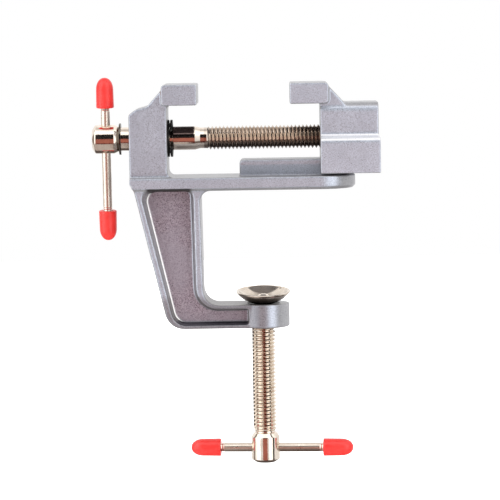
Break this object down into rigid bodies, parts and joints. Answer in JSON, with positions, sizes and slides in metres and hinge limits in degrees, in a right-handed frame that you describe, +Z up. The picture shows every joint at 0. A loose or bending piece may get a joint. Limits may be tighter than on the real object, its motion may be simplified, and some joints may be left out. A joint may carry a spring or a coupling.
{
  "type": "clamp-on hobby vise",
  "caption": "Small die-cast bench vise with a dovetail-guided moving jaw, a C-shaped table clamp with a dished pad, and sliding bar handles with vinyl caps.",
  "frame": {"origin": "on the underside of the beam, which rests on the table, where the clamp screw's axis meets it", "axes": "+X from the fixed jaw towards the moving jaw along the jaw spindle, +Y away from the viewer across the jaws, +Z up along the clamp screw"},
  "size_m": [0.0951, 0.023, 0.1291],
  "materials": {
    "casting": "satin",
    "nickel": "polished",
    "black_steel": "satin",
    "cap_vinyl": "satin"
  },
  "bodies": {
    "frame": {"frame_casting": "casting", "thrust_washer": "black_steel", "wave_washer": "black_steel"},
    "jaw_slider": {"moving_jaw": "casting"},
    "jaw_screw": {"jaw_spindle": "nickel", "head_washer": "nickel", "retaining_clip": "black_steel"},
    "jaw_handle": {"jaw_bar": "nickel", "jaw_bar_cap_upper": "cap_vinyl", "jaw_bar_cap_lower": "cap_vinyl"},
    "clamp_carriage": {"pad_washer": "black_steel"},
    "clamp_screw": {"clamp_spindle": "nickel", "pad_rivet": "nickel"},
    "clamp_disc": {"clamp_pad": "nickel"},
    "clamp_handle": {"clamp_bar": "nickel", "clamp_bar_cap_left": "cap_vinyl", "clamp_bar_cap_right": "cap_vinyl"}
  },
  "joints": [
    {"name": "jaw_turn", "type": "hinge", "parent": "frame", "child": "jaw_screw", "pos_m": [-0.05, 0, 0.017], "axis": [1, 0, 0], "range_deg": [0, 8752]},
    {"name": "jaw_feed", "type": "slide", "parent": "frame", "child": "jaw_slider", "axis": [1, 0, 0], "range_m": [-0.0304, 0]},
    {"name": "jaw_bar_slide", "type": "slide", "parent": "jaw_screw", "child": "jaw_handle", "axis": [0, -0.0872, 0.9962], "range_m": [-0.0056, 0.019]},
    {"name": "clamp_feed", "type": "slide", "parent": "frame", "child": "clamp_carriage", "axis": [0, 0, 1], "range_m": [0, 0.033]},
    {"name": "clamp_turn", "type": "hinge", "parent": "clamp_carriage", "child": "clamp_screw", "pos_m": [0, 0, -0.06], "axis": [0, 0, 1], "range_deg": [0, 9500]},
    {"name": "pad_tilt", "type": "hinge", "parent": "clamp_carriage", "child": "clamp_disc", "pos_m": [0, 0, -0.0388], "axis": [1, 0, 0], "range_deg": [-12, 0]},
    {"name": "clamp_bar_slide", "type": "slide", "parent": "clamp_screw", "child": "clamp_handle", "axis": [0.9971, -0.0767, 0], "range_m": [-0.0145, 0.0101]}
  ],
  "couplings": [
    {"joint": "jaw_feed", "follows": "jaw_turn", "m_per_rad": -0.00019894},
    {"joint": "clamp_feed", "follows": "clamp_turn", "m_per_rad": 0.00019894}
  ]
}
